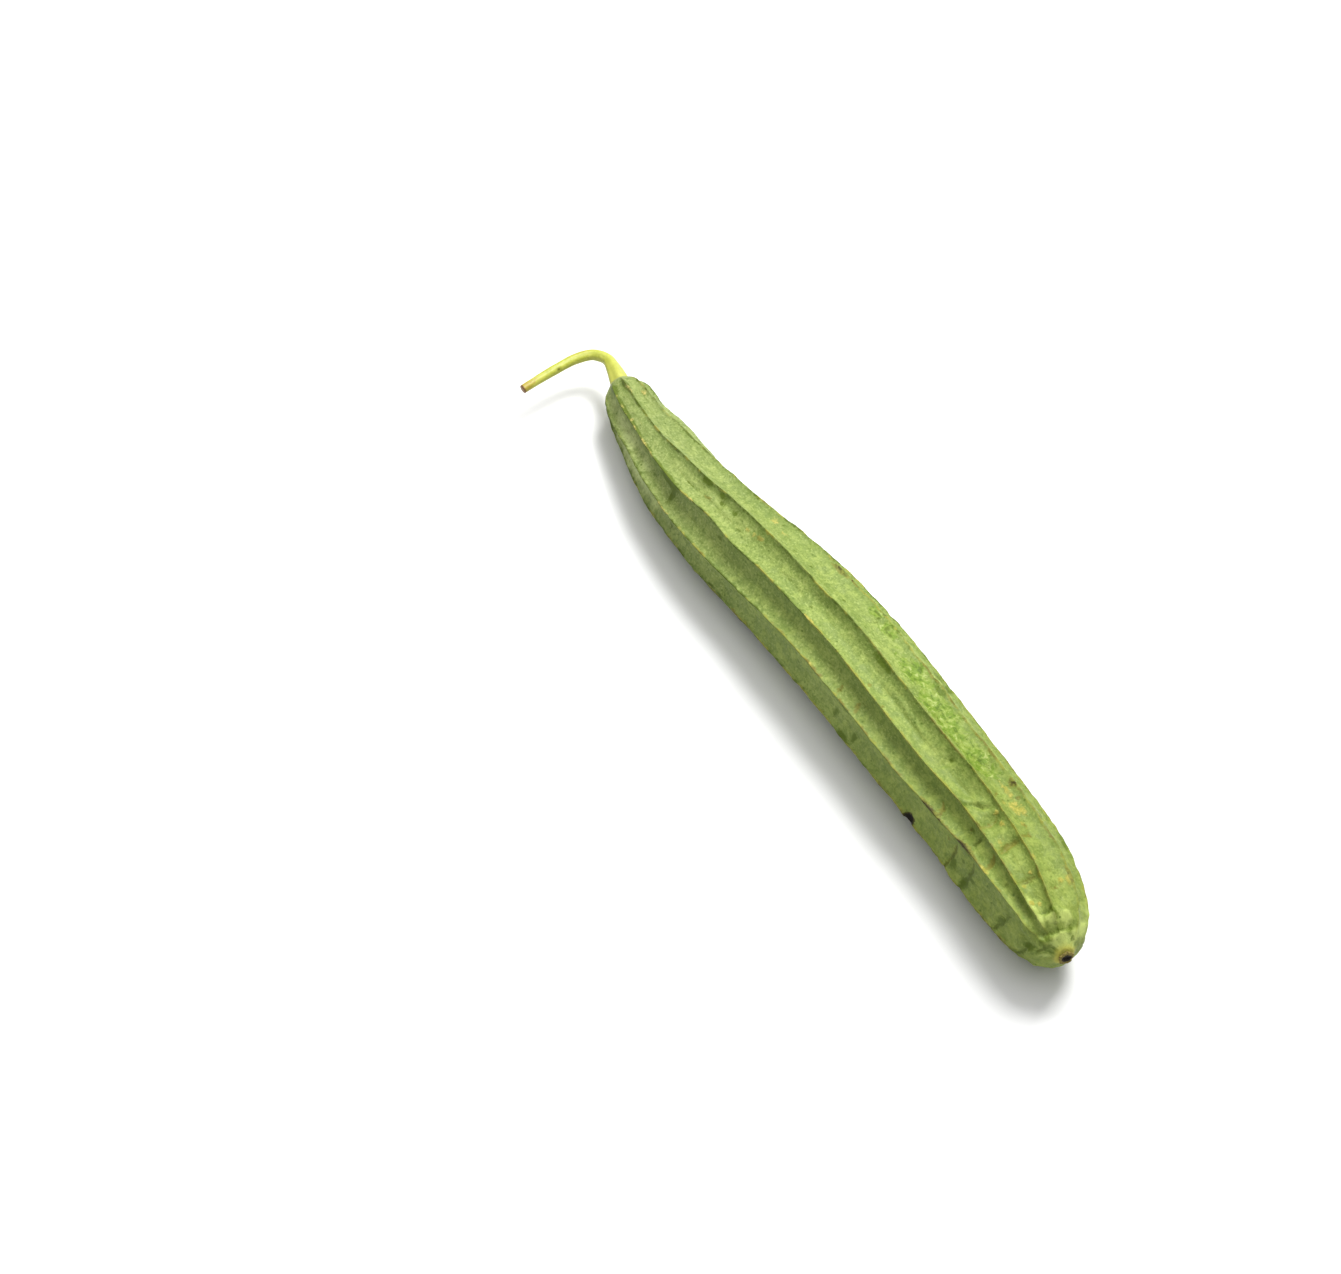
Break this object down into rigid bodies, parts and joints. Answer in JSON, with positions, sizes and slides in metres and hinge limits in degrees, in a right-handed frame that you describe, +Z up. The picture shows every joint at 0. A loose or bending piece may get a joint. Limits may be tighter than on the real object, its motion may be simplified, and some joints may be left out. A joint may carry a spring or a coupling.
{
  "type": "ridge gourd",
  "caption": "Long green gourd with sharp lengthwise ridges and hollow flutes, a hooked yellow stem and a small dried blossom scar, lying on its side.",
  "frame": {"origin": "on the surface that the gourd lies on, under the middle of its bounding box", "axes": "+X along the fruit from the neck towards the blossom end, +Y to the side away from the stem's hook, +Z up"},
  "size_m": [0.369, 0.068, 0.0457],
  "materials": {
    "skin": "matte, faintly waxy green plant skin with olive-brown ridge lines, pale speckle and scabs",
    "stem": "smooth yellow-green plant stalk, reddish brown where it was cut",
    "dried_scar": "dry, rough, dark brown"
  },
  "bodies": {
    "root": {"fruit": "skin", "stem": "stem", "blossom_scar": "dried_scar"}
  },
  "joints": []
}
